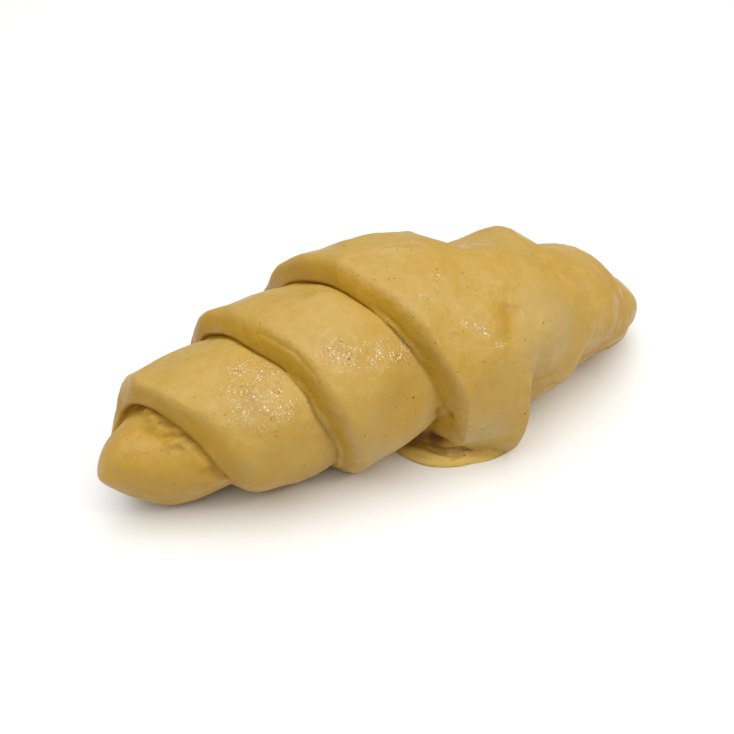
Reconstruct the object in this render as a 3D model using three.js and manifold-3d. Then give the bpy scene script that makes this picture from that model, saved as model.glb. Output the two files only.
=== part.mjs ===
// An unbaked chocolate croissant, all of raw dough in one piece. Millimetres, +Z up.
// It is a triangle of dough rolled up from its broad side to its point, a little askew. Each half
// shows three stepped turns of the sheet's cut edge, and the point lies squeezed out under the front.
// The roll lies along X with its shown side towards -Y, on a flat underside at Z = 0.
// Turns count from 0 under the roll: a quarter turn is the back, a half the top, three quarters the front.

import * as THREE from 'three';
import { mergeVertices } from 'three/addons/utils/BufferGeometryUtils.js';
import Module from 'manifold-3d';

// Size of the whole roll
const LENGTH = 127;
const HALF_LENGTH = LENGTH / 2;
const AXIS_HEIGHT = 19;
// Height of the sagging section as a share of its depth
const SQUASH = 0.84;
// The axis sinks towards both tips by this power of the distance from the middle
const DROOP_POWER = 1.95;
// How far both tips lie in front of the middle
const TIP_FORWARD = 1.5;
// A tip's end may turn up again over this share of its half, and its underside may sag over this one
const TIP_LIFT_SPAN = [0.84, 1];
const TIP_SAG_SPAN = [0.62, 0.9];

// The cut edge of the sheet at every half turn from its start, as [distance from the middle, radius].
// A step rises from the crease at that distance to the crest at that radius, nearer the middle.
// The run of its face, how far it leans towards the middle, goes turn by turn. So do the gap under its
// lip, as [height, part of the turn where that is largest, spread], and the share that is smeared smooth
// on the front.
const NEAR_HALF = {
  cutEdge: [[63, 12.5], [52, 17.5], [42, 16.6], [33.2, 21.7], [23.8, 23], [13.6, 24.8], [4, 26.2]],
  stepOver: 5.2,
  runTop: [1.4, 2.7, 2.7],
  runSide: [3.2, 1.4, 1.4],
  runUnder: [1.8, 1.8, 0.5],
  gap: [[2.4, 0.46, 0.16], [1, 0.45, 0.1], [0.7, 0.46, 0.1]],
  crestSoftness: 0.2,
  swellUnder: 1.6,
  smear: [0, 0, 0],
  footSpread: 1.2,
  footPull: 7,
  pocket: 5.5,
  skew: 0.27,
  tipDrop: 9.8,
  tipLift: 3.2,
  tipSag: 0.5,
  tipBase: 13.9,
  tipFullness: 1.6,
};
const FAR_HALF = {
  cutEdge: [[56.5, 12.8], [52.6, 16.2], [44.9, 15.8], [35, 21], [23.4, 23.4], [14.6, 23.6], [7.6, 27.4]],
  stepOver: 6,
  runTop: [4.4, 4.4, 4.4],
  runSide: [4.4, 4.4, 2.2],
  runUnder: [2.8, 2.8, 1.8],
  gap: [[0, 0.5, 0.1], [0, 0.5, 0.1], [0, 0.5, 0.1]],
  crestSoftness: 0.5,
  swellUnder: 0.2,
  smear: [0.8, 0.75, 0.95],
  footSpread: 6.5,
  footPull: 0,
  pocket: 0,
  skew: 0.24,
  tipDrop: 12,
  tipLift: 0,
  tipSag: 0,
  tipBase: 13.4,
  tipFullness: 1.7,
};
const TURNS = 3;
// Parts of a turn from the top between which a step's height changes from over the roll to under it,
// its run changes from the top to the sides, and all its shape changes from the sides to underneath
const HEIGHT_TURNS = [0.25, 0.45];
const RUN_TURNS = [0.02, 0.18];
const LOW_TURNS = [0.2, 0.32];
// The step grows out of the tip over this much of the first turn
const GROWTH = 0.45;
// A step's face climbs straight over its run, bends softly at the crest and levels out by this many runs
const FACE_REACH = 1.5;
const FACE_POWER = 0.85;
const CREST_SOFTNESS_UNDER = 0.7;
// The lip of the step hangs over a gap near the top of the roll, shut where it gets narrow
const LEAST_GAP = 0.12;
const GAP_SHUT_TURNS = [0.34, 0.44];
const OVERHANG = 1.1;
const GAP_FLOOR_RISE = 0.3;
// The parts of a turn over which the smearing on the front begins and ends
const SMEAR_START = [0.43, 0.55];
const SMEAR_END = [0.68, 0.84];
// Swell of the dough between one crest and the next crease, over the roll and in its middle
const SWELL_OVER = 0.6;
const MIDDLE_SWELL = 0.2;
// The tip swells over this many times its length before the first turn
const TIP_REACH = 1.35;
// Slow lumps of the soft dough, as [share of the radius, waves round the roll, wave length along it]
const LUMPS = [[0.01, 3, 47], [0.007, 5, -31], [0.005, 8, 19]];

// The last turn spreads outwards where it meets the table, its foot by a share of that
const FOOT_SPREAD_INSIDE = 0.6;
const FOOT_TURN = 2.88;
const FOOT_WIDTH = 0.09;
// There its crease is also pulled towards its tip, between these turns
const FOOT_PULL_TURNS = [2.83, 2.93];
// Above that foot the crease may sink into a pocket
const POCKET_TURN = 2.86;
const POCKET_WIDTH = 0.05;

// Share of the skew that the back of the roll keeps, and the depth over which it changes
const BACK_SKEW = 0.63;
const SKEW_DEPTH = 8;
const SKEW_BLEND_LENGTH = 40;

// The point of the sheet, a flat tongue on the table under the front of the middle turn
const TONGUE_CENTRE = new THREE.Vector3(6.2, -13, 0);
const TONGUE_HALF_SIZE = new THREE.Vector3(15, 11, 3.2);
const TONGUE_TURN = THREE.MathUtils.degToRad(-20);
// Squareness of the tongue's edge: 2 is round, more is squarer
const TONGUE_SQUARENESS = 3.4;
// Rise of the tongue from its left end to its right end, as a share of its height
const TONGUE_RISE = 0.3;

// Fineness of the faceted surface
const COLUMNS = 68;
const TIP_ROWS = 7;
const FACE_ROWS = 6;
const BAND_ROWS = 4;
const MIDDLE_ROWS = 9;
const TONGUE_COLUMNS = 28;
const TONGUE_ROWS = 12;

const DOUGH = new THREE.MeshStandardMaterial({ color: 0xd4b064, roughness: 0.55, metalness: 0 });

const wasm = await Module();
wasm.setup();

const { clamp, lerp, smoothstep } = THREE.MathUtils;

// A bell of height 1 at a turn
function bell(turn, middle, width) {
  return Math.exp(-(((turn - middle) / width) ** 2));
}

// An arch of height 1 over a share from 0 to 1
function arch(share) {
  return 4 * share * (1 - share);
}

// How far round from the top an angle lies, up to half a turn
function turnsFromTop(turn) {
  return Math.abs(turn % 1 - 0.5);
}

// What the smearing leaves of a half's step
function keptOfStep(half, turn) {
  const onFront = smoothstep(turn % 1, ...SMEAR_START) * (1 - smoothstep(turn % 1, ...SMEAR_END));
  return 1 - half.smear[Math.floor(turn)] * onFront;
}

// Height of a half's step at a turn
function stepHeight(half, turn) {
  const lowness = smoothstep(turnsFromTop(turn), ...HEIGHT_TURNS);
  return lerp(half.stepOver, half.stepUnder, lowness) * keptOfStep(half, turn);
}

// Run of a half's step at an angle of one of its turns
function stepRun(half, turn, angle) {
  const fromTop = turnsFromTop(angle);
  const over = lerp(half.runTop[turn], half.runSide[turn], smoothstep(fromTop, ...RUN_TURNS));
  return lerp(over, half.runUnder[turn], smoothstep(fromTop, ...LOW_TURNS));
}

// Height of the gap under a step's lip
function gapHeight(half, turn, angle) {
  const [largest, middle, spread] = half.gap[turn];
  const shut = smoothstep(turnsFromTop(angle), ...GAP_SHUT_TURNS);
  const height = largest * bell(angle, middle, spread) * (1 - shut);
  return height < LEAST_GAP ? 0 : height;
}

// How much of a step's height its face has climbed at a share of its reach
function faceRise(share, softness) {
  const bend = (climb) => (climb + 1 - Math.hypot(climb - 1, 2 * softness)) / 2;
  const bottom = bend(0);
  const top = bend(FACE_REACH ** FACE_POWER);
  return (bend((FACE_REACH * share) ** FACE_POWER) - bottom) / (top - bottom);
}

// Radius of the lumpy roll as a share of the even one
function lumpiness(x, angle) {
  let share = 1;
  for (const [height, waves, length] of LUMPS) {
    share += height * Math.sin(2 * Math.PI * (waves * angle + x / length));
  }
  return share;
}

// A half of the roll with its cut edge as a smooth curve. Underneath, where the second turn of the edge
// goes on from the first, the step is as high as the dough there stands over the tip
function makeHalf(size) {
  const points = size.cutEdge.map(([station, radius]) => new THREE.Vector2(station, radius));
  const curve = new THREE.SplineCurve(points);
  const firstTurn = curve.getPoint(1 / TURNS);
  return {
    ...size,
    curve,
    firstTurnDistance: HALF_LENGTH - firstTurn.x,
    stepUnder: firstTurn.y - size.tipBase,
  };
}

// Radius of the tip at a distance from its end: a superellipse that has its base at the first turn
function tipRadius(half, distance) {
  const reach = half.firstTurnDistance * TIP_REACH;
  const power = half.tipFullness;
  const bulge = (d) => (1 - (1 - clamp(d / reach, 0, 1)) ** power) ** (1 / power);
  return half.tipBase * bulge(distance) / bulge(half.firstTurnDistance);
}

// The step of the cut edge at a turn: its crease's distance from the tip's end, how far that is pulled
// towards the tip, and the radius of its foot and crest
function stepAt(half, turn) {
  const edge = half.curve.getPoint(turn / TURNS);
  const pull = half.footPull * smoothstep(turn, ...FOOT_PULL_TURNS);
  const distance = HALF_LENGTH - edge.x - pull;
  const inFirstTurn = turn < 1;
  const foot = inFirstTurn ? Math.min(tipRadius(half, distance), edge.y) : edge.y - stepHeight(half, turn);
  const spread = half.footSpread * bell(turn, FOOT_TURN, FOOT_WIDTH);
  const pocket = half.pocket * bell(turn, POCKET_TURN, POCKET_WIDTH);
  return { distance, pull, foot: foot + FOOT_SPREAD_INSIDE * spread - pocket, crest: edge.y + spread };
}

// Rows of [distance from the tip's end, radius] along one half at an angle, up to the last crest
function halfRows(half, angle) {
  const steps = [];
  for (let turn = 0; turn < TURNS; turn++) {
    steps.push(stepAt(half, angle + turn));
  }
  const rows = [];
  for (let i = 0; i < TIP_ROWS; i++) {
    const distance = steps[0].distance * (1 - Math.cos(i / TIP_ROWS * Math.PI / 2));
    rows.push([distance, tipRadius(half, distance)]);
  }
  const lowness = smoothstep(turnsFromTop(angle), ...LOW_TURNS);
  const swell = lerp(SWELL_OVER, half.swellUnder, lowness);
  const softness = lerp(half.crestSoftness, CREST_SOFTNESS_UNDER, lowness);
  steps.forEach((step, turn) => {
    const grown = turn === 0 ? smoothstep(angle, 0, GROWTH) : 1;
    const addRow = (distance, radius) => {
      rows.push([distance, lerp(tipRadius(half, distance), radius, grown)]);
    };
    const gap = gapHeight(half, turn, angle) * grown;
    addRow(step.distance, step.foot);
    addRow(step.distance + OVERHANG * gap, step.foot + GAP_FLOOR_RISE * gap);
    const reach = FACE_REACH * stepRun(half, turn, angle) + step.pull;
    for (let i = 0; i < FACE_ROWS; i++) {
      const share = i / (FACE_ROWS - 1);
      const radius = lerp(step.foot + gap, step.crest, faceRise(share, softness));
      addRow(step.distance + reach * share, radius);
    }
    const next = steps[turn + 1];
    if (!next) {
      return;
    }
    const start = step.distance + reach;
    const kept = keptOfStep(half, angle + turn + 1);
    for (let i = 1; i <= BAND_ROWS; i++) {
      const share = i / (BAND_ROWS + 1);
      const climb = lerp(Math.sin(share * Math.PI / 2), share, kept);
      const radius = lerp(step.crest, next.foot, climb) + kept * swell * arch(share);
      addRow(lerp(start, next.distance, share), radius);
    }
  });
  return rows;
}

// A point of the roll, with its lumps, its sagging, its drooping tips and the skew of its turns
function placeOnRoll(x, evenRadius, angle) {
  const radius = evenRadius * lumpiness(x, angle);
  const radians = angle * 2 * Math.PI;
  const depth = radius * Math.sin(radians);
  const along = clamp(x / HALF_LENGTH, -1, 1);
  const half = along < 0 ? NEAR_HALF : FAR_HALF;
  const sag = half.tipSag * smoothstep(Math.abs(along), ...TIP_SAG_SPAN) * Math.max(Math.cos(radians), 0);
  const height = -radius * Math.cos(radians) * SQUASH * (1 + sag);
  const towardsFar = smoothstep(x, -SKEW_BLEND_LENGTH / 2, SKEW_BLEND_LENGTH / 2);
  const skew = lerp(NEAR_HALF.skew, FAR_HALF.skew, towardsFar);
  const frontness = (1 - depth / Math.hypot(depth, SKEW_DEPTH)) / 2;
  const shiftedX = x - skew * depth * lerp(BACK_SKEW, 1, frontness);
  const droop = half.tipDrop * Math.abs(along) ** DROOP_POWER;
  const lift = half.tipLift * smoothstep(Math.abs(along), ...TIP_LIFT_SPAN);
  const bow = TIP_FORWARD * (shiftedX / HALF_LENGTH) ** 2;
  return [shiftedX, depth - bow, height + AXIS_HEIGHT - droop + lift];
}

// Points of the roll's skin at an angle, from the near tip to the far tip
function columnPoints(near, far, angle) {
  const nearRows = halfRows(near, angle).map(([distance, radius]) => [distance - HALF_LENGTH, radius]);
  const farRows = halfRows(far, angle).map(([distance, radius]) => [HALF_LENGTH - distance, radius]);
  const [startX, startRadius] = nearRows.at(-1);
  const [endX, endRadius] = farRows.at(-1);
  const middleRows = [];
  for (let i = 1; i <= MIDDLE_ROWS; i++) {
    const share = i / (MIDDLE_ROWS + 1);
    const radius = lerp(startRadius, endRadius, share) + MIDDLE_SWELL * arch(share);
    middleRows.push([lerp(startX, endX, share), radius]);
  }
  const rows = [...nearRows, ...middleRows, ...farRows.reverse()];
  return rows.map(([x, radius]) => placeOnRoll(x, radius, angle));
}

// Triangles between two columns of points that need not match, always stepping to the nearer point
function stitch(left, right, positions) {
  let i = 0;
  let j = 0;
  while (i < left.length - 1 || j < right.length - 1) {
    const stepLeft = j === right.length - 1
      || (i < left.length - 1 && left[i + 1][0] < right[j + 1][0]);
    const corner = stepLeft ? left[i + 1] : right[j + 1];
    positions.push(...left[i], ...right[j], ...corner);
    if (stepLeft) {
      i++;
    } else {
      j++;
    }
  }
}

// Triangles between two columns whose points match row by row
function strip(left, right, positions) {
  for (let row = 0; row < left.length - 1; row++) {
    positions.push(...left[row], ...right[row], ...left[row + 1]);
    positions.push(...right[row], ...right[row + 1], ...left[row + 1]);
  }
}

// The closed skin of the roll, not yet cut flat
function rollGeometry() {
  const near = makeHalf(NEAR_HALF);
  const far = makeHalf(FAR_HALF);
  const columns = [];
  for (let i = 0; i < COLUMNS; i++) {
    columns.push(columnPoints(near, far, i / COLUMNS));
  }
  const positions = [];
  for (let i = 1; i < COLUMNS; i++) {
    strip(columns[i - 1], columns[i], positions);
  }
  // Under the roll the turns run on by one, so the last column has other rows than the first
  stitch(columns.at(-1), columns[0], positions);
  const geometry = new THREE.BufferGeometry();
  geometry.setAttribute('position', new THREE.Float32BufferAttribute(positions, 3));
  return geometry;
}

// The point of the sheet as a flat pad with a blunt edge that the table cuts through
function tongueGeometry() {
  const geometry = new THREE.SphereGeometry(1, TONGUE_COLUMNS, TONGUE_ROWS);
  geometry.rotateX(Math.PI / 2);
  const places = geometry.attributes.position;
  const power = 2 / TONGUE_SQUARENESS;
  for (let i = 0; i < places.count; i++) {
    const round = Math.hypot(places.getX(i), places.getY(i));
    const spread = round > 0 ? round ** power / round : 0;
    const x = places.getX(i) * spread;
    const height = Math.sign(places.getZ(i)) * Math.abs(places.getZ(i)) ** power;
    places.setXYZ(i, x, places.getY(i) * spread, height * (1 + TONGUE_RISE * x));
  }
  geometry.scale(...TONGUE_HALF_SIZE);
  geometry.rotateZ(TONGUE_TURN);
  geometry.translate(...TONGUE_CENTRE);
  return geometry;
}

// Everything below the table
function belowTable() {
  const geometry = new THREE.BoxGeometry(2 * LENGTH, 2 * LENGTH, LENGTH);
  geometry.translate(0, 0, -LENGTH / 2);
  return geometry;
}

// A closed geometry as a solid
function toSolid(geometry) {
  geometry.deleteAttribute('normal');
  geometry.deleteAttribute('uv');
  const merged = mergeVertices(geometry);
  const index = merged.index.array;
  const triangles = [];
  for (let i = 0; i < index.length; i += 3) {
    const [a, b, c] = index.slice(i, i + 3);
    if (a !== b && b !== c && c !== a) {
      triangles.push(a, b, c);
    }
  }
  return new wasm.Manifold(new wasm.Mesh({
    numProp: 3,
    vertProperties: merged.attributes.position.array,
    triVerts: new Uint32Array(triangles),
  }));
}

// A solid as a geometry, with the middle of its underside at the origin
function toGeometry(solid) {
  const mesh = solid.getMesh();
  const geometry = new THREE.BufferGeometry();
  geometry.setAttribute('position', new THREE.BufferAttribute(mesh.vertProperties, 3));
  geometry.setIndex(new THREE.BufferAttribute(mesh.triVerts, 1));
  geometry.computeBoundingBox();
  const centre = geometry.boundingBox.getCenter(new THREE.Vector3());
  geometry.translate(-centre.x, -centre.y, 0);
  return geometry;
}

const roll = toSolid(rollGeometry());
const tongue = toSolid(tongueGeometry());
const flatUnderneath = roll.add(tongue).subtract(toSolid(belowTable()));

const dough = new THREE.Mesh(toGeometry(flatUnderneath), DOUGH);
dough.name = 'dough';

const croissant = new THREE.Group();
croissant.add(dough);

export default croissant;
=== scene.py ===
"""The looks of an unbaked chocolate croissant: raw dough rolled into stepped turns, on a pale floor."""

import math

import bpy
import numpy as np
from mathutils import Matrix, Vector, kdtree, noise


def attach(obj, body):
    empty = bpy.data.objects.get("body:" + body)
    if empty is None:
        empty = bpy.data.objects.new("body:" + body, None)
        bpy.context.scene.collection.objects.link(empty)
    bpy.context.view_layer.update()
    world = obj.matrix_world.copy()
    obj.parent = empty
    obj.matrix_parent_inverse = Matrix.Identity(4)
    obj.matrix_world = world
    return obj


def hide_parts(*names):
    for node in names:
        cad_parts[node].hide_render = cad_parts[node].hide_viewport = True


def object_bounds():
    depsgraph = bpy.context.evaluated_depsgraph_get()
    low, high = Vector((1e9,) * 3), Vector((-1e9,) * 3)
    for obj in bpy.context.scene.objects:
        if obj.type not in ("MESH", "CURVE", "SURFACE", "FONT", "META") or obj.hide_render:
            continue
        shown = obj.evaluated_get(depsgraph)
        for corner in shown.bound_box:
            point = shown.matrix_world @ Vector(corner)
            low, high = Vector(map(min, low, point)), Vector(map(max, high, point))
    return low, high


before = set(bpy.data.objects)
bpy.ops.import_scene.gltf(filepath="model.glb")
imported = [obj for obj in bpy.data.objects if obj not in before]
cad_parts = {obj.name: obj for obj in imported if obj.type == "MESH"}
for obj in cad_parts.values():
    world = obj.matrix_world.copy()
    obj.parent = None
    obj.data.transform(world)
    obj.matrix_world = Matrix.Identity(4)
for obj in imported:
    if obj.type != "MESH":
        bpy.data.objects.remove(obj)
cad_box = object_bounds()

# The shape is worked out in millimetres and becomes metres where a mesh is made
MM = 0.001

# Size of the whole roll
LENGTH = 127
HALF_LENGTH = LENGTH / 2
AXIS_HEIGHT = 19
SQUASH = 0.84
DROOP_POWER = 1.95
TIP_FORWARD = 1.5
TIP_LIFT_SPAN = (0.84, 1)
TIP_SAG_SPAN = (0.62, 0.9)

# The cut edge of the sheet at every half turn, as (distance from the middle, radius over the crest).
# The run of a step's face, the gap under its lip, as (height, part of the turn where that is largest,
# spread), and the share that is smeared smooth go turn by turn.
NEAR_HALF = {
    "cut_edge": ((63, 12.5), (52, 17.5), (42, 16.6), (33.2, 21.7), (23.8, 23), (13.6, 24.8), (4, 26.2)),
    "step_over": 5.2,
    "run_top": (1.4, 2.7, 2.7),
    "run_side": (3.2, 1.4, 1.4),
    "run_under": (1.8, 1.8, 0.5),
    "gap": ((2.4, 0.46, 0.16), (1, 0.45, 0.1), (0.7, 0.46, 0.1)),
    "crest_softness": 0.2,
    "swell_under": 1.6,
    "smear": (0, 0, 0),
    "foot_spread": 1.2,
    "foot_pull": 7,
    "pocket": 5.5,
    "skew": 0.27,
    "tip_drop": 9.8,
    "tip_lift": 3.2,
    "tip_sag": 0.5,
    "tip_base": 13.9,
    "tip_fullness": 1.6,
}
FAR_HALF = {
    "cut_edge": (
        (56.5, 12.8), (52.6, 16.2), (44.9, 15.8), (35, 21), (23.4, 23.4), (14.6, 23.6), (7.6, 27.4)
    ),
    "step_over": 6,
    "run_top": (4.4, 4.4, 4.4),
    "run_side": (4.4, 4.4, 2.2),
    "run_under": (2.8, 2.8, 1.8),
    "gap": ((0, 0.5, 0.1), (0, 0.5, 0.1), (0, 0.5, 0.1)),
    "crest_softness": 0.5,
    "swell_under": 0.2,
    "smear": (0.8, 0.75, 0.95),
    "foot_spread": 6.5,
    "foot_pull": 0,
    "pocket": 0,
    "skew": 0.24,
    "tip_drop": 12,
    "tip_lift": 0,
    "tip_sag": 0,
    "tip_base": 13.4,
    "tip_fullness": 1.7,
}
TURNS = 3
HEIGHT_TURNS = (0.25, 0.45)
RUN_TURNS = (0.02, 0.18)
LOW_TURNS = (0.2, 0.32)
GROWTH = 0.45
FACE_REACH = 1.5
FACE_POWER = 0.85
CREST_SOFTNESS_UNDER = 0.7
LEAST_GAP = 0.12
GAP_SHUT_TURNS = (0.34, 0.44)
OVERHANG = 1.1
SMEAR_START = (0.43, 0.55)
SMEAR_END = (0.68, 0.84)
SWELL_OVER = 0.6
MIDDLE_SWELL = 0.2
TIP_REACH = 1.35
# Slow lumps of the dough, as (share of the radius, waves round the roll, wave length along it)
LUMPS = ((0.01, 3, 47), (0.007, 5, -31), (0.005, 8, 19))
FOOT_SPREAD_INSIDE = 0.6
FOOT_TURN = 2.88
FOOT_WIDTH = 0.09
FOOT_PULL_TURNS = (2.83, 2.93)
POCKET_TURN = 2.86
POCKET_WIDTH = 0.05
BACK_SKEW = 0.63
SKEW_DEPTH = 8
SKEW_BLEND_LENGTH = 40

# The point of the sheet, a flat tongue under the front of the middle turn
TONGUE_CENTRE = (6.2, -13, 0)
TONGUE_HALF_SIZE = (15, 11, 3.2)
TONGUE_TURN = math.radians(-20)
TONGUE_SQUARENESS = 3.4
TONGUE_RISE = 0.3

# Fineness of the skin
COLUMNS = 280
TIP_ROWS = 24
GAP_ROWS = 8
FACE_ROWS = 20
BAND_ROWS = 24
MIDDLE_ROWS = 44
TONGUE_COLUMNS = 120
TONGUE_ROWS = 50
# Rows on each side over which the directions out of the skin are evened out
EVENING_ROWS = 6
# Points of the skin nearer than this to the one before them in their column become one with it
MERGE_DISTANCE = 0.05
# The columns lie closer together round this turn, where most of the folds are
DENSE_TURN = 0.65
DENSITY = 0.06

# Folds and dents that show on the skin, each as (places along it, half-width, height) of a ridge.
# A groove has a negative height. The places count from the middle of the roll at the table.
NOSE_WRINKLES = (
    (((-52, 1.5, 21), (-51.5, -0.5, 21.5), (-51.5, -3.5, 20.5)), 0.6, 0.9),
    (((-55, -1.5, 19.5), (-52.5, -4.5, 19.5), (-51, -7, 19)), 0.65, -0.8),
    (((-51.5, -5, 20), (-48.5, -7.5, 20), (-47, -9.5, 19.5)), 0.5, -1.1),
    (((-51.5, -6, 19), (-48.5, -8, 19.5), (-46.5, -10, 18.5)), 0.5, 0.9),
    (((-51, -3, 21), (-49, -5.5, 21)), 0.45, -0.9),
    (((-50.5, -4.5, 21), (-48, -7.5, 20.5)), 0.45, 0.9),
    (((-50.5, -7.5, 19), (-48.5, -9, 18.5)), 0.5, -0.5),
    (((-46, -11, 17.5), (-46.5, -12, 15)), 0.9, 0.5),
    (((-45.5, -12, 16), (-44.5, -13, 14), (-43, -13.5, 12)), 0.9, -1.4),
    (((-62.5, -3, 14), (-59, -5.5, 14.5)), 1, -0.4),
    (((-56.5, -8, 12.5), (-55.5, -8, 9.5), (-52.5, -9, 8.5)), 0.8, 0.35),
)
DENTS = (
    (((14, -17.5, 33), (10.5, -23, 28)), 2.2, -0.8),
    (((-2, -22, 17), (-2, -22, 14)), 0.8, -1),
    (((-4.5, -14, 3.5), (-2.5, -17, 5), (-1, -19.5, 5), (2, -23, 3)), 1, -1.6),
)
PLEATS = (
    (((16.5, -24, 15.5), (23, -23, 17)), 0.4, -0.4),
    (((17.5, -23, 13.5), (21.5, -23, 14.5)), 0.35, 0.35),
    (((19, -22, 11), (25, -22, 12.5)), 0.45, -0.45),
    (((13.5, -26, 22), (13.5, -27, 16)), 0.6, 0.35),
)
TONGUE_FOLDS = (
    (((-6.5, -15, 1.5), (-3, -19.5, 1.5), (2, -22.5, 1.5)), 0.5, -0.4),
    (((1, -20.5, 3), (4.5, -23, 1.5)), 0.5, -0.4),
    (((3.5, -22, 3), (8.5, -24, 2)), 0.6, 0.5),
)
TOP_STREAKS = (
    (((-6, -11, 37.5), (-3, -12.5, 37.5)), 0.35, 0.25),
    (((-3, 2, 39.5), (3.5, -1.5, 39.5)), 0.6, 0.2),
    (((10, -13.5, 35.5), (14.5, -15, 34.5)), 0.4, 0.2),
    (((0.5, -18.5, 33), (2.5, -20, 32)), 0.4, 0.2),
)
FACE_LINES = (
    (((-30.5, -2, 33.5), (-28.5, -6.5, 33), (-27, -10.5, 32.5), (-25, -16, 29.5)), 0.4, -0.25),
    (((-10, -8, 35), (-9, -10, 34.5), (-7.5, -12.5, 33.5), (-7, -14.5, 32)), 0.3, -0.25),
    (((-10.5, -8.5, 34), (-9.5, -10.5, 33), (-8.5, -12.5, 32)), 0.25, 0.25),
)
RELIEF = NOSE_WRINKLES + DENTS + PLEATS + TONGUE_FOLDS + TOP_STREAKS + FACE_LINES
# A groove and thin lips of the sheet's edge along creases of the near half, as (turns, rise over the
# crease, half-width, height)
CREASE_FOLDS = (
    ((0.56, 0.6, 0.64, 0.68, 0.72, 0.76), 0, 0.5, -0.8),
    ((1.6, 1.64, 1.68, 1.72), 0.7, 0.25, 0.4),
    ((1.65, 1.7, 1.75, 1.8, 1.85, 1.9), 0.7, 0.3, 0.7),
    ((2.56, 2.6, 2.64, 2.68), 0.7, 0.3, 0.5),
)
# A fold ends between these distances out of or into the skin, and fades towards its ends by this power
FOLD_DEPTH = (2, 4)
FOLD_END_POWER = 4
# Slow unevenness of the whole skin, as (size of a swelling, height)
UNEVENNESS = ((14, 0.4), (6, 0.3), (2.6, 0.12))
# Sideways bends of the whole skin, as (size of a bend, how far)
WANDER = (9, 0.5)
# Where in the noise the bends along X, Y and Z are taken from
WANDER_OFFSETS = ((31, 0, 0), (0, 57, 0), (0, 0, 83))

# Bare dough shows on a step's face in the deeper tone, which is partly painted shade of the face, and
# fades out between these shares of the face's reach
FACE_FADE = (0.3, 0.8)
# A groove this deep is painted in the same deeper tone as shade in the groove, and a ridge this high gets
# none of it
SHADED_GROOVE = 1.6
HIGH_RIDGE = 0.5
# The tongue's lighter tone, painted light on the tongue that the roll over it shades, begins and is full
# at these distances from the roll's skin
TONGUE_BLEND = (0.4, 2.2)
# Spots of the skin, as (place, radius), each of full strength within this share of its radius
SPOT_CORE = 0.3
MOIST_SPOTS = (
    ((-33.5, -10.5, 28), 10),
    ((-20, -13.5, 32.5), 4.5),
    ((-16, -15.5, 31), 4),
    ((-12, -16, 30), 4),
    ((-9.5, -16, 29.5), 4),
    ((4.5, -19, 33), 2.2),
    ((6, -20.5, 31.5), 1.8),
    ((8.5, -22.5, 29), 1.5),
    ((3, -9.5, 37.5), 1.8),
    ((-2, -13.5, 36.5), 2.2),
    ((14.5, -17, 33), 1.6),
)
GLOSSY_SPOTS = (
    ((-24.5, 6.5, 34), 3),
    ((-22.5, 2.5, 35), 3),
    ((-20, 0.5, 35.5), 2.5),
    ((-2.5, 2, 39.5), 3),
    ((0.5, 0, 39.5), 3),
    ((3, -0.5, 39.5), 3),
)
# Painted shade: a deeper, more saturated tone low on the tips and feet, by the nose and in the pocket over
# the tongue, where shade falls
SHADE_SPOTS = (
    ((-54, -8, 11), 14),
    ((-46, -12.5, 14), 8),
    ((-36, -18, 8), 12),
    ((-52, -4, 20), 7),
    ((47.5, -14, 20), 13),
    ((44, -17, 13), 12),
    ((-2.5, -17, 4), 5),
    ((-11, -21, 21), 9),
)
# Painted light: a paler, greyer tone standing in for white bounce light on the front and lower sides, and
# for sheen near a top edge at the back
PALE_LIGHT_SPOTS = (
    ((-10.5, -22.5, 19.5), 11),
    ((-15, -23, 13.5), 8),
    ((21.5, -22, 27), 13),
    ((4.5, -28, 11), 8),
    ((-38, 7.5, 27.5), 6),
)
# Painted shade: a dark tone inside the hollow over the tongue
HOLLOW_SHADE_SPOTS = (
    ((-4.5, -14.5, 4.5), 4),
    ((-1.5, -17, 5), 3.5),
)

# Tones of the dough. The deep tone serves both the random mottling and painted shade; the pale tone is
# painted bounce light and sheen, the hollow tone painted shade and the tongue's tone painted light.
SKIN_TONE = (0.49, 0.325, 0.085, 1)
DEEP_AND_SHADE_TONE = (0.43, 0.238, 0.015, 1)
PALE_LIGHT_TONE = (0.45, 0.315, 0.105, 1)
HOLLOW_SHADE_TONE = (0.17, 0.075, 0.01, 1)
TONGUE_LIGHT_TONE = (0.68, 0.47, 0.12, 1)
SPECK_TONE = (0.1, 0.05, 0.012, 1)
# Tones that lie over the skin's, as (name of the value on the mesh, strength, tone): painted bounce light
# and sheen, painted shade, bare faces partly painted as shade, painted shade in the hollow, painted light
# on the tongue
TONE_LAYERS = (
    ("pale_light", 0.8, PALE_LIGHT_TONE),
    ("painted_shade", 0.65, DEEP_AND_SHADE_TONE),
    ("face", 1, DEEP_AND_SHADE_TONE),
    ("hollow_shade", 1, HOLLOW_SHADE_TONE),
    ("tongue_light", 1, TONGUE_LIGHT_TONE),
)
# Patches of the skin, as (size, detail, noise at which a patch begins, noise at which it is full)
BLOTCHES = (16, 4, 0.35, 0.65)
FLECKS = (1.6, 4, 0.3, 0.7)
SPECK_PATCHES = (7, 2, 0.32, 0.55)
SHEEN_PATCHES = (5, 3, 0.42, 0.62)
WET_PATCHES = (2.6, 3, 0.35, 0.6)
BLOTCH_STRENGTH = 0.3
FLECK_STRENGTH = 0.25
# Specks, as (distance apart, radius, strength), each dark within this share of its radius
SPECK_CORE = 0.6
SMALL_SPECKS = (1.9, 0.2, 0.75)
LARGE_SPECKS = (5.5, 0.3, 0.85)
# The wet ones are painted shadows among the glints of the wet grain
WET_GRAIN_SHADOWS = (1.1, 0.2, 0.5)
# Fine waves and grain of the skin, as (size, detail) of the noise and (depth, strength) of the bump
SKIN_WAVES = (2.6, 4)
SKIN_WAVE_BUMP = (0.4, 0.8)
SKIN_GRAIN = (0.6, 2)
SKIN_GRAIN_BUMP = (0.12, 0.4)
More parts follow.
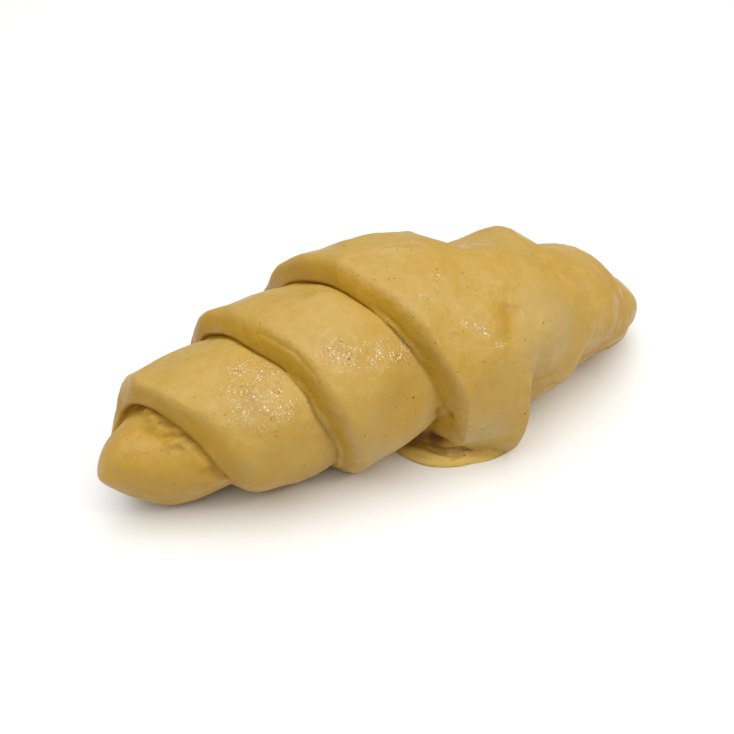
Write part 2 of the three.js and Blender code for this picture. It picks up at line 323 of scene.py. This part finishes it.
# Finish of the skin
ROUGHNESS = 0.6
SHEEN_GAIN = 0.25
SPECULAR_LEVEL = 0.33
SCATTER_WEIGHT = 0.15
SCATTER_RADIUS = (1, 0.5, 0.2)
SCATTER_DEPTH = 2
# The wet grain of the moist spots. It rises over a span of moistness, and the grains whose random
# shade lies past a span glint. The smooth spots have a faint gloss.
WET_GRAIN_SIZE = 0.6
WET_GRAIN_DEPTH = 0.5
WET_GRAIN_SPAN = (0, 0.25)
GLINT_SPAN = (0.35, 0.45)
GLOSS = 0.2
WET_ROUGHNESS = 0.16
WET_IOR = 2.4

# Camera at the photograph's viewing angle
PHOTO_SIZE = 734
VIEW_AZIMUTH = math.radians(29.7)
VIEW_ELEVATION = math.radians(39.2)
VIEW_DISTANCE = 166.3
VIEW_TARGET = (0.03, 1.73, 14.1)
FOCAL_PIXELS = 786.5
CENTRE_PIXEL = (398.5, 353.9)
SENSOR = 36
NEAREST_VIEW = 10

# Soft overhead light, as direction, spread and strength
OVERHEAD = ((-0.08, -0.15, 1), math.radians(75), 3.55)
# Lamps, as name, direction, distance and size in metres, power in watts and colour
LAMPS = (
    ("key", (0.39, -0.58, 0.71), 0.7, 0.1, 0.8, (1, 0.86, 0.56)),
    ("back", (0.385, 0.673, 0.632), 0.9, 0.4, 0.8, (1, 1, 1)),
)
SKY_STRENGTH = 0.1
WHITE = (1, 1, 1, 1)
# The floor's side in metres, and its tone
FLOOR_SIDE = 4
FLOOR_TONE = (0.82, 0.82, 0.82, 1)


# Short sums
def smoothstep(value, low, high):
    share = np.clip((value - low) / (high - low), 0, 1)
    return share * share * (3 - 2 * share)


def lerp(start, end, share):
    return start + (end - start) * share


def bell(value, middle, width):
    return np.exp(-(((value - middle) / width) ** 2))


def arch(share):
    return 4 * share * (1 - share)


def spline(values, turn):
    """A smooth curve through values that are given at every half turn."""
    values = np.asarray(values, float)
    last = len(values) - 1
    place = np.clip(turn * 2, 0, last)
    index = np.minimum(np.floor(place).astype(int), last - 1)
    share = place - index
    before = values[np.maximum(index - 1, 0)]
    start = values[index]
    end = values[index + 1]
    after = values[np.minimum(index + 2, last)]
    start_slope = (end - before) / 2
    end_slope = (after - start) / 2
    cubic = 2 * start - 2 * end + start_slope + end_slope
    square = 3 * end - 3 * start - 2 * start_slope - end_slope
    return ((cubic * share + square) * share + start_slope) * share + start


# The rolled form. A turn counts from the underside over the back, the top and the front.
def turns_from_top(turn):
    return np.abs(turn % 1 - 0.5)


def lowness(turn):
    """How far a place is from the sides towards the underside."""
    return smoothstep(turns_from_top(turn), *LOW_TURNS)


def cut_edge(half, turn):
    stations, radii = zip(*half["cut_edge"])
    return spline(stations, turn), spline(radii, turn)


def kept_of_step(half, turn):
    """What the smearing leaves of a step at a turn."""
    on_front = smoothstep(turn % 1, *SMEAR_START) * (1 - smoothstep(turn % 1, *SMEAR_END))
    return 1 - np.take(half["smear"], np.floor(turn).astype(int)) * on_front


def step_height(half, turn):
    """Height of a step: underneath, as high as the first turn stands over the tip."""
    _, first_radius = cut_edge(half, 1)
    low = smoothstep(turns_from_top(turn), *HEIGHT_TURNS)
    return lerp(half["step_over"], first_radius - half["tip_base"], low) * kept_of_step(half, turn)


def step_run(half, turn, angle):
    """How far a step's face leans inwards."""
    to_side = smoothstep(turns_from_top(angle), *RUN_TURNS)
    over = lerp(half["run_top"][turn], half["run_side"][turn], to_side)
    return lerp(over, half["run_under"][turn], lowness(angle))


def gap_height(half, turn, angle):
    """Height of the gap under a step's lip: widest near the top of the roll, shut where it gets narrow."""
    largest, middle, spread = half["gap"][turn]
    shut = smoothstep(turns_from_top(angle), *GAP_SHUT_TURNS)
    height = largest * bell(angle, middle, spread) * (1 - shut)
    return np.where(height < LEAST_GAP, 0, height)


def face_rise(share, softness):
    """How much of a step's height its face has climbed at a share of its reach."""
    def bend(climb):
        return (climb + 1 - np.hypot(climb - 1, 2 * softness)) / 2

    bottom = bend(0)
    top = bend(FACE_REACH ** FACE_POWER)
    return (bend((FACE_REACH * share) ** FACE_POWER) - bottom) / (top - bottom)


def tip_radius(half, distance):
    """Radius of the tip at a distance from its end: a superellipse that has its base at the first turn."""
    station, _ = cut_edge(half, 1)
    first_distance = HALF_LENGTH - station
    reach = first_distance * TIP_REACH
    power = half["tip_fullness"]

    def bulge(value):
        return (1 - (1 - np.clip(value / reach, 0, 1)) ** power) ** (1 / power)

    return half["tip_base"] * bulge(distance) / bulge(first_distance)


def step_at(half, turn):
    """A step of the cut edge: its crease's distance from the tip's end, its pull, foot and crest."""
    station, radius = cut_edge(half, turn)
    pull = half["foot_pull"] * smoothstep(turn, *FOOT_PULL_TURNS)
    distance = HALF_LENGTH - station - pull
    in_tip = np.minimum(tip_radius(half, distance), radius)
    foot = np.where(turn < 1, in_tip, radius - step_height(half, turn))
    spread = half["foot_spread"] * bell(turn, FOOT_TURN, FOOT_WIDTH)
    pocket = half["pocket"] * bell(turn, POCKET_TURN, POCKET_WIDTH)
    return distance, pull, foot + FOOT_SPREAD_INSIDE * spread - pocket, radius + spread


# Rows of the skin's points, each as distance from the tip's end, radius and bareness, the share of a
# step's face that is painted in the deeper tone, partly as shade
def tip_rows(half, angle, end):
    """Rows from the tip's end to the first crease."""
    rows = []
    for i in range(TIP_ROWS):
        distance = end * (1 - math.cos(i / TIP_ROWS * math.pi / 2))
        rows.append((distance, tip_radius(half, distance), 0 * angle))
    return rows


def step_rows(half, turn, angle, step, grown):
    """Rows of a step: up the gap under its lip, then up its face to the crest."""
    start, pull, foot, crest = step
    bare_and_shade = kept_of_step(half, angle + turn) ** 2
    gap = gap_height(half, turn, angle) * grown
    rows = []
    for i in range(GAP_ROWS):
        share = i / GAP_ROWS
        rows.append((start + OVERHANG * gap * arch(share), foot + gap * share, bare_and_shade))
    reach = FACE_REACH * step_run(half, turn, angle) + pull
    softness = lerp(half["crest_softness"], CREST_SOFTNESS_UNDER, lowness(angle))
    for i in range(FACE_ROWS):
        share = i / (FACE_ROWS - 1)
        radius = lerp(foot + gap, crest, face_rise(share, softness))
        rows.append((start + reach * share, radius, bare_and_shade * (1 - smoothstep(share, *FACE_FADE))))
    return rows


def band_rows(half, turn, angle, crest_distance, crest, next_step):
    """Rows of the band between a step's crest and the next crease."""
    next_start, _, next_foot, _ = next_step
    next_kept = kept_of_step(half, angle + turn + 1)
    swell = lerp(SWELL_OVER, half["swell_under"], lowness(angle))
    rows = []
    for i in range(1, BAND_ROWS + 1):
        share = i / (BAND_ROWS + 1)
        climb = lerp(math.sin(share * math.pi / 2), share, next_kept)
        radius = lerp(crest, next_foot, climb) + next_kept * swell * arch(share)
        rows.append((lerp(crest_distance, next_start, share), radius, 0))
    return rows


def half_rows(half, angle):
    """Rows of one half, up to its last crest. The first step grows out of the tip."""
    steps = [step_at(half, angle + turn) for turn in range(TURNS)]
    rows = tip_rows(half, angle, steps[0][0])
    for turn, step in enumerate(steps):
        grown = smoothstep(angle, 0, GROWTH) if turn == 0 else 1 + 0 * angle
        new_rows = step_rows(half, turn, angle, step, grown)
        if turn + 1 < TURNS:
            new_rows += band_rows(half, turn, angle, new_rows[-1][0], step[-1], steps[turn + 1])
        for distance, radius, bare_and_shade in new_rows:
            rows.append((distance, lerp(tip_radius(half, distance), radius, grown), bare_and_shade * grown))
    return [np.array(column) for column in zip(*rows)]


def lumpiness(x, angle):
    share = 1
    for height, waves, length in LUMPS:
        share = share + height * np.sin(2 * math.pi * (waves * angle + x / length))
    return share


def place_on_roll(x, even_radius, angle):
    """Points of the roll, with its lumps, its sagging, its drooping tips and the skew of its turns."""
    along = np.clip(x / HALF_LENGTH, -1, 1)

    def of_half(name):
        return np.where(along < 0, NEAR_HALF[name], FAR_HALF[name])

    radius = even_radius * lumpiness(x, angle)
    radians = angle * 2 * math.pi
    depth = radius * np.sin(radians)
    sag = of_half("tip_sag") * smoothstep(np.abs(along), *TIP_SAG_SPAN) * np.maximum(np.cos(radians), 0)
    height = -radius * np.cos(radians) * SQUASH * (1 + sag)
    towards_far = smoothstep(x, -SKEW_BLEND_LENGTH / 2, SKEW_BLEND_LENGTH / 2)
    skew = lerp(NEAR_HALF["skew"], FAR_HALF["skew"], towards_far)
    frontness = (1 - depth / np.hypot(depth, SKEW_DEPTH)) / 2
    shifted = x - skew * depth * lerp(BACK_SKEW, 1, frontness)
    droop = of_half("tip_drop") * np.abs(along) ** DROOP_POWER
    lift = of_half("tip_lift") * smoothstep(np.abs(along), *TIP_LIFT_SPAN)
    bow = TIP_FORWARD * (shifted / HALF_LENGTH) ** 2
    return np.stack([shifted, depth - bow, height + AXIS_HEIGHT - droop + lift], axis=-1)


def roll_grid():
    """Points of the roll's skin in millimetres, by row and column, and how bare the dough is at each,
    painted in the deeper tone, partly as shade.
    """
    even = np.arange(COLUMNS) / COLUMNS
    crowding = np.sin((even - DENSE_TURN) * 2 * math.pi) + math.sin(DENSE_TURN * 2 * math.pi)
    angle = even - DENSITY * crowding
    near_distance, near_radius, near_bare = half_rows(NEAR_HALF, angle)
    far_distance, far_radius, far_bare = half_rows(FAR_HALF, angle)
    near_x = near_distance - HALF_LENGTH
    far_x = HALF_LENGTH - far_distance
    share = (np.arange(1, MIDDLE_ROWS + 1) / (MIDDLE_ROWS + 1))[:, None]
    middle_x = lerp(near_x[-1], far_x[-1], share)
    middle_radius = lerp(near_radius[-1], far_radius[-1], share) + MIDDLE_SWELL * arch(share)
    x = np.concatenate([near_x, middle_x, far_x[::-1]])
    radius = np.concatenate([near_radius, middle_radius, far_radius[::-1]])
    bare_and_shade = np.concatenate([near_bare, 0 * middle_x, far_bare[::-1]])
    return place_on_roll(x, radius, angle), bare_and_shade


def tongue_grid():
    """Points of the sheet's squeezed-out point, a flat pad with a blunt edge."""
    around = np.arange(TONGUE_COLUMNS) / TONGUE_COLUMNS * 2 * math.pi
    up = (np.arange(TONGUE_ROWS) / (TONGUE_ROWS - 1) - 0.5)[:, None] * math.pi
    power = 2 / TONGUE_SQUARENESS
    x = np.cos(up) ** power * np.cos(around)
    y = np.cos(up) ** power * np.sin(around)
    z = np.sign(up) * np.abs(np.sin(up)) ** power * (1 + TONGUE_RISE * x)
    x, y, z = [side * size for side, size in zip((x, y, z), TONGUE_HALF_SIZE)]
    cosine = math.cos(TONGUE_TURN)
    sine = math.sin(TONGUE_TURN)
    turned = np.stack([x * cosine - y * sine, x * sine + y * cosine, z], axis=-1)
    return turned + np.array(TONGUE_CENTRE)


# Meshes from grids of points
def merged_index(points):
    """Numbers of a grid's points, with each shut gap as one point and the end rows as one point each."""
    rows, columns = points.shape[:2]
    index = np.arange(rows * columns).reshape(rows, columns)
    index[0] = index[0, 0]
    kept = points[0]
    for row in range(1, rows):
        near = np.linalg.norm(points[row] - kept, axis=-1) < MERGE_DISTANCE
        index[row] = np.where(near, index[row - 1], index[row])
        kept = np.where(near[:, None], kept, points[row])
    index[-1] = index[-1, 0]
    return index


def roll_faces(points):
    """Triangles and quads of a grid of points whose first and last rows each meet in one point.

    Under the roll the turns run on by one, so the last column is stitched to the first by x."""
    rows = len(points)
    index = merged_index(points)
    corners = [index[:-1, :-1], index[:-1, 1:], index[1:, 1:], index[1:, :-1]]
    faces = np.stack(corners, axis=-1).reshape(-1, 4).tolist()
    left = index[:, -1]
    right = index[:, 0]
    left_x = points[:, -1, 0]
    right_x = points[:, 0, 0]
    i = 0
    j = 0
    while i < rows - 1 or j < rows - 1:
        step_left = j == rows - 1 or (i < rows - 1 and left_x[i + 1] < right_x[j + 1])
        corner = left[i + 1] if step_left else right[j + 1]
        faces.append([left[i], right[j], corner])
        i += int(step_left)
        j += int(not step_left)
    cleaned = []
    for face in faces:
        kept = list(dict.fromkeys(int(corner) for corner in face))
        if len(kept) > 2:
            cleaned.append(kept)
    return cleaned


def ring_faces(points):
    """Faces of a grid of points whose rows close on themselves and whose end rows are single points."""
    rows, columns = points.shape[:2]
    index = np.arange(rows * columns).reshape(rows, columns)
    index[0] = index[0, 0]
    index[-1] = index[-1, 0]
    following = np.roll(index, -1, axis=1)
    corners = [index[:-1], following[:-1], following[1:], index[1:]]
    faces = np.stack(corners, axis=-1).reshape(-1, 4).tolist()
    return [list(dict.fromkeys(face)) for face in faces]


def mesh_object(name, points, faces):
    """A mesh object from points in millimetres, with unused points left out."""
    used = sorted({corner for face in faces for corner in face})
    new_index = {old: new for new, old in enumerate(used)}
    flat = points.reshape(-1, 3)[used] * MM
    mesh = bpy.data.meshes.new(name)
    mesh.from_pydata(flat.tolist(), [], [[new_index[corner] for corner in face] for face in faces])
    mesh.update()
    item = bpy.data.objects.new(name, mesh)
    bpy.context.scene.collection.objects.link(item)
    return item


def mesh_points(mesh):
    return np.array([vertex.co for vertex in mesh.vertices])


def boolean(item, operation, other):
    """Join an item with another one or cut it by that, and remove the other one."""
    modifier = item.modifiers.new(operation, "BOOLEAN")
    modifier.operation = operation
    modifier.object = other
    modifier.solver = "MANIFOLD"
    graph = bpy.context.evaluated_depsgraph_get()
    joined = bpy.data.meshes.new_from_object(item.evaluated_get(graph))
    item.modifiers.clear()
    item.data = joined
    bpy.data.objects.remove(other)


def table_block():
    """A block whose top is the table's level."""
    bpy.ops.mesh.primitive_cube_add(size=1, location=(0, 0, -LENGTH * MM / 2))
    block = bpy.context.object
    block.scale = (2 * LENGTH * MM, 2 * LENGTH * MM, LENGTH * MM)
    bpy.context.view_layer.update()
    return block


# Relief of the skin
def outward_directions(grid):
    """Directions out of the skin, evened out over some rows so that a narrow gap keeps its shape."""
    normals = np.cross(np.gradient(grid, axis=1), np.gradient(grid, axis=0))
    padded = np.pad(normals, ((EVENING_ROWS, EVENING_ROWS), (0, 0), (0, 0)), mode="edge")
    total = sum(padded[row:row + len(grid)] for row in range(2 * EVENING_ROWS + 1))
    length = np.linalg.norm(total, axis=-1, keepdims=True)
    return total / np.where(length > 0, length, 1)


def crease_folds():
    """Ridges and grooves that run along the creases."""
    folds = []
    for turns, rise, width, top in CREASE_FOLDS:
        places = []
        for turn in turns:
            distance, _, foot, _ = step_at(NEAR_HALF, turn)
            places.append(place_on_roll(distance + rise / 2 - HALF_LENGTH, foot + rise, turn % 1))
        folds.append((places, width, top))
    return folds


def fold_shape(points, normals, start, end, width):
    """How far along a line points of the skin lie, and a bell over their distance from it on the skin."""
    line = np.subtract(end, start)
    share = np.clip((points - start) @ line / (line @ line), 0, 1)
    apart = points - start - share[:, None] * line
    through = np.sum(apart * normals, axis=1)
    beside = np.sqrt(np.maximum(np.sum(apart * apart, axis=1) - through ** 2, 0))
    return share, bell(beside, 0, width) * (1 - smoothstep(np.abs(through), *FOLD_DEPTH))


def relief_height(points, normals):
    """Height of all the folds. Each one fades out towards its ends."""
    height = np.zeros(len(points))
    for places, width, top in [*RELIEF, *crease_folds()]:
        lines = list(zip(places, places[1:]))
        shapes = []
        for i, line in enumerate(lines):
            share, shape = fold_shape(points, normals, *line, width)
            along = (i + share) / len(lines)
            shapes.append(shape * (1 - (2 * along - 1) ** FOLD_END_POWER))
        height += top * np.max(shapes, axis=0)
    return height


def unevenness(points):
    height = np.zeros(len(points))
    for size, top in UNEVENNESS:
        height += top * np.array([noise.noise(Vector(point) / size) for point in points])
    return height


def wander(points):
    """Sideways bends of the skin, so that no crest or crease runs quite true."""
    size, far = WANDER
    bends = []
    for offset in WANDER_OFFSETS:
        bends.append([noise.noise(Vector(point) / size + Vector(offset)) for point in points])
    return far * np.array(bends).T


def raise_relief(grid):
    """The points of the skin moved by the folds, the unevenness and the bends, and the folds' height."""
    points = grid.reshape(-1, 3)
    normals = outward_directions(grid).reshape(-1, 3)
    relief = relief_height(points, normals)
    moved = points + normals * (relief + unevenness(points))[:, None] + wander(points)
    return moved.reshape(grid.shape), relief.reshape(grid.shape[:2])


# The dough
def make_dough():
    """The dough, the points of its roll's skin in metres and how bare the dough is at each of them, with
    painted shade in its deeper grooves.
    """
    grid, face_bare_and_shade = roll_grid()
    skin, relief = raise_relief(grid)
    dough = mesh_object("dough_skin", skin, roll_faces(grid))
    flat = tongue_grid()
    boolean(dough, "UNION", mesh_object("tongue", raise_relief(flat)[0], ring_faces(flat)))
    boolean(dough, "DIFFERENCE", table_block())
    # Deep grooves are painted in the deeper tone as shade; high ridges keep the skin's tone
    groove_shade = np.clip(-relief / SHADED_GROOVE, 0, 1)
    ridge = np.clip(relief / HIGH_RIDGE, 0, 1)
    bare_and_shade = np.maximum(face_bare_and_shade * (1 - ridge), groove_shade)
    return dough, skin.reshape(-1, 3) * MM, bare_and_shade.ravel()


def nearest_on_skin(points, skin):
    """For each point the number of the nearest point of the skin, and how far away that is."""
    tree = kdtree.KDTree(len(skin))
    for index, point in enumerate(skin):
        tree.insert(point, index)
    tree.balance()
    found = [tree.find(point) for point in points]
    return [index for _, index, _ in found], np.array([distance for _, _, distance in found])


def spot_strength(places, spots):
    strength = np.zeros(len(places))
    for centre, radius in spots:
        away = np.linalg.norm(places - np.array(centre, float), axis=1)
        strength = np.maximum(strength, 1 - smoothstep(away, SPOT_CORE * radius, radius))
    return strength


def add_values(mesh, skin, bare_and_shade):
    """Values on the mesh by which the material tells the parts of the skin apart and paints light and
    shade on it.
    """
    points = mesh_points(mesh)
    nearest, distance = nearest_on_skin(points, skin)
    on_roll = 1 - smoothstep(distance / MM, *TONGUE_BLEND)
    face = bare_and_shade[nearest] * on_roll
    places = points / MM
    values = {
        "face": face,
        "moist": spot_strength(places, MOIST_SPOTS) * (1 - face),
        "glossy": spot_strength(places, GLOSSY_SPOTS),
        "painted_shade": spot_strength(places, SHADE_SPOTS),
        "pale_light": spot_strength(places, PALE_LIGHT_SPOTS),
        "hollow_shade": spot_strength(places, HOLLOW_SHADE_SPOTS) * on_roll,
        # The tongue is painted lighter, as the light that the roll's shade takes from it
        "tongue_light": 1 - on_roll,
    }
    for name, strength in values.items():
        attribute = mesh.attributes.new(name, "FLOAT", "POINT")
        attribute.data.foreach_set("value", strength)


def stand_in_frame(mesh):
    """Move the mesh to the middle of the frame's box, standing on the table."""
    points = mesh_points(mesh)
    low = points.min(axis=0)
    high = points.max(axis=0)
    box_middle = (np.array(cad_box[0]) + np.array(cad_box[1])) / 2
    shift = box_middle - (low + high) / 2
    shift[2] = -low[2]
    mesh.vertices.foreach_set("co", (points + shift).ravel())
    mesh.update()


# The dough's material
class Shading:
    """Short ways to add nodes to a material. Sizes and depths are in millimetres."""

    def __init__(self, material):
        self.nodes = material.node_tree.nodes
        self.links = material.node_tree.links
        scaled = self.add("ShaderNodeVectorMath", operation="SCALE")
        self.feed(scaled.inputs[0], self.add("ShaderNodeTexCoord").outputs["Object"])
        self.feed(scaled.inputs["Scale"], 1 / MM)
        self.place = scaled.outputs[0]

    def add(self, kind, **settings):
        node = self.nodes.new(kind)
        for name, value in settings.items():
            setattr(node, name, value)
        return node

    def feed(self, socket, value):
        """Link a socket to an output, or set it to a plain value."""
        if isinstance(value, bpy.types.NodeSocket):
            self.links.new(value, socket)
        else:
            socket.default_value = value

    def attribute(self, name):
        return self.add("ShaderNodeAttribute", attribute_name=name).outputs["Fac"]

    def math(self, operation, *values):
        node = self.add("ShaderNodeMath", operation=operation)
        for socket, value in zip(node.inputs, values):
            self.feed(socket, value)
        return node.outputs[0]

    def mix(self, share, first, second):
        node = self.add("ShaderNodeMix", data_type="RGBA")
        colour_sockets = [socket for socket in node.inputs if socket.type == "RGBA"]
        for socket, value in zip((node.inputs[0], *colour_sockets), (share, first, second)):
            self.feed(socket, value)
        return next(socket for socket in node.outputs if socket.type == "RGBA")

    def band(self, value, low, high):
        node = self.add("ShaderNodeMapRange", interpolation_type="SMOOTHSTEP")
        self.feed(node.inputs["Value"], value)
        self.feed(node.inputs["From Min"], low)
        self.feed(node.inputs["From Max"], high)
        return node.outputs["Result"]

    def noise(self, size, detail):
        node = self.add("ShaderNodeTexNoise")
        self.feed(node.inputs["Vector"], self.place)
        self.feed(node.inputs["Scale"], 1 / size)
        self.feed(node.inputs["Detail"], detail)
        return node.outputs["Fac"]

    def patches(self, size, detail, start, full):
        return self.band(self.noise(size, detail), start, full)

    def cells(self, size):
        node = self.add("ShaderNodeTexVoronoi")
        self.feed(node.inputs["Vector"], self.place)
        self.feed(node.inputs["Scale"], 1 / size)
        return node.outputs

    def bump(self, height, depth, strength):
        node = self.add("ShaderNodeBump")
        self.feed(node.inputs["Height"], height)
        self.feed(node.inputs["Distance"], depth * MM)
        self.feed(node.inputs["Strength"], strength)
        return node


def specks(shading, apart, radius, strength):
    distance = shading.cells(apart)["Distance"]
    inside = shading.band(distance, radius / apart, SPECK_CORE * radius / apart)
    return shading.math("MULTIPLY", inside, strength)


def dough_colour(shading, moist, flecks):
    """Mottled skin with the tones of its parts over it, among them painted light and shade, and dark
    specks, the wet ones painted shadows of the grain.
    """
    few_flecks = shading.math("MULTIPLY", flecks, FLECK_STRENGTH)
    mottle = shading.math("MULTIPLY_ADD", shading.patches(*BLOTCHES), BLOTCH_STRENGTH, few_flecks)
    colour = shading.mix(mottle, SKIN_TONE, DEEP_AND_SHADE_TONE)
    for name, strength, tone in TONE_LAYERS:
        share = shading.math("MULTIPLY", shading.attribute(name), strength)
        colour = shading.mix(share, colour, tone)
    for share in (
        shading.math("MULTIPLY", specks(shading, *SMALL_SPECKS), shading.patches(*SPECK_PATCHES)),
        specks(shading, *LARGE_SPECKS),
        shading.math("MULTIPLY", specks(shading, *WET_GRAIN_SHADOWS), moist),
    ):
        colour = shading.mix(share, colour, SPECK_TONE)
    return colour


def add_skin_finish(shading, shader):
    """Satin skin with waves and grain. Returns the bump of the waves."""
    sheen = shading.patches(*SHEEN_PATCHES)
    shading.feed(shader["Roughness"], shading.math("MULTIPLY_ADD", sheen, -SHEEN_GAIN, ROUGHNESS))
    shading.feed(shader["Specular IOR Level"], SPECULAR_LEVEL)
    shading.feed(shader["Subsurface Weight"], SCATTER_WEIGHT)
    shading.feed(shader["Subsurface Radius"], SCATTER_RADIUS)
    shading.feed(shader["Subsurface Scale"], SCATTER_DEPTH * MM)
    waves = shading.bump(shading.noise(*SKIN_WAVES), *SKIN_WAVE_BUMP)
    grain = shading.bump(shading.noise(*SKIN_GRAIN), *SKIN_GRAIN_BUMP)
    shading.feed(grain.inputs["Normal"], waves.outputs["Normal"])
    shading.feed(shader["Normal"], grain.outputs["Normal"])
    return waves


def add_wet_coat(shading, shader, moist, flecks, waves):
    """A wet grain that glints in the moist spots, and a faint gloss in the smooth ones."""
    grains = shading.cells(WET_GRAIN_SIZE)
    glints = shading.band(grains["Color"], *GLINT_SPAN)
    wetness = shading.math("MULTIPLY", moist, shading.patches(*WET_PATCHES))
    gloss = shading.math("MULTIPLY", shading.attribute("glossy"), GLOSS)
    flecked_gloss = shading.math("MULTIPLY", gloss, flecks)
    shading.feed(shader["Coat Weight"], shading.math("MULTIPLY_ADD", wetness, glints, flecked_gloss))
    shading.feed(shader["Coat Roughness"], WET_ROUGHNESS)
    shading.feed(shader["Coat IOR"], WET_IOR)
    raised = shading.band(moist, *WET_GRAIN_SPAN)
    wet_grain = shading.bump(grains["Distance"], WET_GRAIN_DEPTH, raised)
    shading.feed(wet_grain.inputs["Normal"], waves.outputs["Normal"])
    shading.feed(shader["Coat Normal"], wet_grain.outputs["Normal"])


def dough_material():
    material = bpy.data.materials.new("raw_dough")
    material.use_nodes = True
    shader = material.node_tree.nodes["Principled BSDF"].inputs
    shading = Shading(material)
    moist = shading.attribute("moist")
    flecks = shading.patches(*FLECKS)
    shading.feed(shader["Base Color"], dough_colour(shading, moist, flecks))
    waves = add_skin_finish(shading, shader)
    add_wet_coat(shading, shader, moist, flecks, waves)
    return material


# Camera, lights and floor
def make_camera():
    data = bpy.data.cameras.new("camera")
    data.sensor_width = SENSOR
    data.lens = FOCAL_PIXELS / PHOTO_SIZE * SENSOR
    data.shift_x = 0.5 - CENTRE_PIXEL[0] / PHOTO_SIZE
    data.shift_y = CENTRE_PIXEL[1] / PHOTO_SIZE - 0.5
    data.clip_start = NEAREST_VIEW * MM
    camera = bpy.data.objects.new("camera", data)
    bpy.context.scene.collection.objects.link(camera)
    backwards = Vector((
        -math.sin(VIEW_AZIMUTH) * math.cos(VIEW_ELEVATION),
        -math.cos(VIEW_AZIMUTH) * math.cos(VIEW_ELEVATION),
        math.sin(VIEW_ELEVATION),
    ))
    camera.location = (Vector(VIEW_TARGET) + backwards * VIEW_DISTANCE) * MM
    camera.rotation_euler = backwards.to_track_quat("Z", "Y").to_euler()
    bpy.context.scene.camera = camera


def aim(light, direction, distance):
    towards = Vector(direction).normalized()
    light.location = towards * distance
    light.rotation_euler = towards.to_track_quat("Z", "Y").to_euler()
    bpy.context.scene.collection.objects.link(light)


def make_overhead(direction, spread, strength):
    """A broad light that is as bright all over the floor."""
    data = bpy.data.lights.new("overhead", "SUN")
    data.angle = spread
    data.energy = strength
    aim(bpy.data.objects.new("overhead", data), direction, 1)


def make_lamp(name, direction, distance, size, power, colour):
    data = bpy.data.lights.new(name, "AREA")
    data.size = size
    data.energy = power
    data.color = colour
    aim(bpy.data.objects.new(name, data), direction, distance)


def make_sky():
    world = bpy.data.worlds.new("world")
    world.use_nodes = True
    background = world.node_tree.nodes["Background"].inputs
    background["Color"].default_value = WHITE
    background["Strength"].default_value = SKY_STRENGTH
    bpy.context.scene.world = world


def make_floor():
    bpy.ops.mesh.primitive_plane_add(size=FLOOR_SIDE)
    floor = bpy.context.object
    floor.name = "floor"
    material = bpy.data.materials.new("floor")
    material.use_nodes = True
    material.node_tree.nodes["Principled BSDF"].inputs["Base Color"].default_value = FLOOR_TONE
    floor.data.materials.append(material)
    return floor


roll, roll_skin, roll_bare_and_shade = make_dough()
add_values(roll.data, roll_skin, roll_bare_and_shade)
stand_in_frame(roll.data)
roll.data.shade_smooth()
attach(roll, "root")
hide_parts("dough")
roll.data.materials.clear()
roll.data.materials.append(dough_material())

make_camera()
make_overhead(*OVERHEAD)
for lamp in LAMPS:
    make_lamp(*lamp)
make_sky()
floor = make_floor()
bpy.context.scene.view_settings.view_transform = "Standard"
